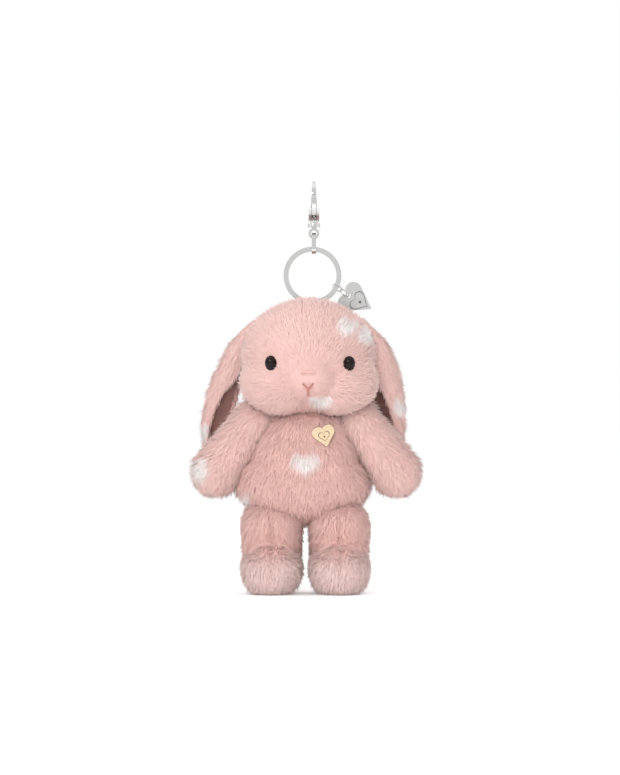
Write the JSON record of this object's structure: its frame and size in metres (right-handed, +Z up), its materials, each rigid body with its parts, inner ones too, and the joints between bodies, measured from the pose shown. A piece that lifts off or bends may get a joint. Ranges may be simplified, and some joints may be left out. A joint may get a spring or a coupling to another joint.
{
  "type": "plush keychain",
  "caption": "Plush bunny keychain with floppy ears and a heart badge, on a split ring with a heart tag and a swivelling trigger clasp.",
  "frame": {"origin": "on the ground plane under the middle of the whole keychain, where the bunny's soles rest", "axes": "+Z up from the soles to the clasp, -Y is the way the bunny's face looks, +X to the right as seen from the front"},
  "size_m": [0.109, 0.0584, 0.198],
  "materials": {
    "plush": "short silky plush pile, dusty pink",
    "lining": "short plush in the ears' shade, darker pink",
    "stuffing": "polyester fibre filling",
    "thread": "embroidery thread",
    "tape": "woven cotton tape",
    "eye": "glossy black-brown moulded dome",
    "washer": "moulded natural plastic",
    "badge": "pale gold plate, polished",
    "steel": "nickel plate, bright satin",
    "tag_steel": "nickel plate, fine brushed"
  },
  "bodies": {
    "head": {"head_front_cover": "plush", "head_back_cover": "plush", "head_stuffing": "stuffing", "eye_left": "eye", "eye_right": "eye", "eye_washer_left": "washer", "eye_washer_right": "washer", "nose_stitching": "thread", "bridge_stitching": "thread", "hanging_loop": "tape"},
    "ear_left": {"ear_left_outer": "plush", "ear_left_lining": "lining"},
    "ear_right": {"ear_right_outer": "plush", "ear_right_lining": "lining"},
    "torso": {"torso_front_cover": "plush", "torso_back_cover": "plush", "torso_stuffing": "stuffing", "neck_seam_thread": "thread", "heart_badge": "badge", "badge_clutch": "washer"},
    "arm_left": {"arm_left_cover": "plush", "arm_left_stuffing": "stuffing"},
    "arm_right": {"arm_right_cover": "plush", "arm_right_stuffing": "stuffing"},
    "leg_left": {"leg_left_cover": "plush", "leg_left_stuffing": "stuffing", "foot_sole_left": "plush"},
    "leg_right": {"leg_right_cover": "plush", "leg_right_stuffing": "stuffing", "foot_sole_right": "plush"},
    "split_ring": {"split_ring": "steel"},
    "connector_link": {"connector_link": "steel"},
    "swivel_bow": {"swivel_bow": "steel"},
    "hook": {"hook_body": "steel", "gate_pivot_pin": "steel", "gate_spring": "steel"},
    "gate": {"gate_lever": "steel"},
    "tag_ring_upper": {"tag_ring_upper": "steel"},
    "tag_ring_lower": {"tag_ring_lower": "steel"},
    "tag": {"heart_tag": "tag_steel"}
  },
  "joints": [
    {"name": "neck_nod", "type": "hinge", "parent": "torso", "child": "head", "pos_m": [0, 0, 0.086], "axis": [1, 0, 0], "range_deg": [-8, 15], "stiffness_Nm_per_rad": 0.2},
    {"name": "ear_left_lift", "type": "hinge", "parent": "head", "child": "ear_left", "pos_m": [-0.0276, 0.004, 0.1265], "axis": [0, 1, 0], "range_deg": [0, 60], "stiffness_Nm_per_rad": 0.004},
    {"name": "ear_right_lift", "type": "hinge", "parent": "head", "child": "ear_right", "pos_m": [0.03, 0.004, 0.1265], "axis": [0, -1, 0], "range_deg": [0, 60], "stiffness_Nm_per_rad": 0.004},
    {"name": "arm_left_swing", "type": "hinge", "parent": "torso", "child": "arm_left", "pos_m": [-0.0248, -0.001, 0.0835], "axis": [-1, 0, 0], "range_deg": [-2, 75], "stiffness_Nm_per_rad": 0.01},
    {"name": "arm_right_swing", "type": "hinge", "parent": "torso", "child": "arm_right", "pos_m": [0.0248, -0.001, 0.0835], "axis": [-1, 0, 0], "range_deg": [-2, 75], "stiffness_Nm_per_rad": 0.01},
    {"name": "leg_left_swing", "type": "hinge", "parent": "torso", "child": "leg_left", "pos_m": [-0.0164, -0.014, 0.037], "axis": [-1, 0, 0], "range_deg": [0, 75], "stiffness_Nm_per_rad": 0.05},
    {"name": "leg_right_swing", "type": "hinge", "parent": "torso", "child": "leg_right", "pos_m": [0.0154, -0.014, 0.037], "axis": [-1, 0, 0], "range_deg": [0, 75], "stiffness_Nm_per_rad": 0.05},
    {"name": "ring_swing", "type": "hinge", "parent": "head", "child": "split_ring", "pos_m": [0.0029, 0.014, 0.1397], "axis": [-1, 0, 0], "range_deg": [-60, 60]},
    {"name": "link_swing", "type": "hinge", "parent": "split_ring", "child": "connector_link", "pos_m": [0.0036, 0.014, 0.1653], "axis": [-1, 0, 0], "range_deg": [-90, 90]},
    {"name": "bow_tilt", "type": "hinge", "parent": "connector_link", "child": "swivel_bow", "pos_m": [0.0036, 0.014, 0.1729], "axis": [0, 1, 0], "range_deg": [-60, 60]},
    {"name": "hook_swivel", "type": "hinge", "parent": "swivel_bow", "child": "hook", "pos_m": [0.0036, 0.014, 0.18], "axis": [0, 0, 1], "continuous": true},
    {"name": "gate_open", "type": "hinge", "parent": "hook", "child": "gate", "pos_m": [0.0036, 0.0099, 0.1832], "axis": [-1, 0, 0], "range_deg": [0, 22], "stiffness_Nm_per_rad": 0.01, "deforming": ["gate_spring"]},
    {"name": "tag_ring_upper_swing", "type": "hinge", "parent": "split_ring", "child": "tag_ring_upper", "pos_m": [0.01444, 0.014, 0.14697], "axis": [0.5707, 0, 0.8211], "range_deg": [-20, 15]},
    {"name": "tag_ring_lower_swing", "type": "hinge", "parent": "tag_ring_upper", "child": "tag_ring_lower", "pos_m": [0.01711, 0.014, 0.14511], "axis": [-0.2412, 0.9063, -0.347], "range_deg": [-12, 8]},
    {"name": "tag_turn", "type": "hinge", "parent": "tag_ring_lower", "child": "tag", "pos_m": [0.02052, 0.014, 0.14275], "axis": [0, 1, 0], "range_deg": [-12, 12]}
  ]
}
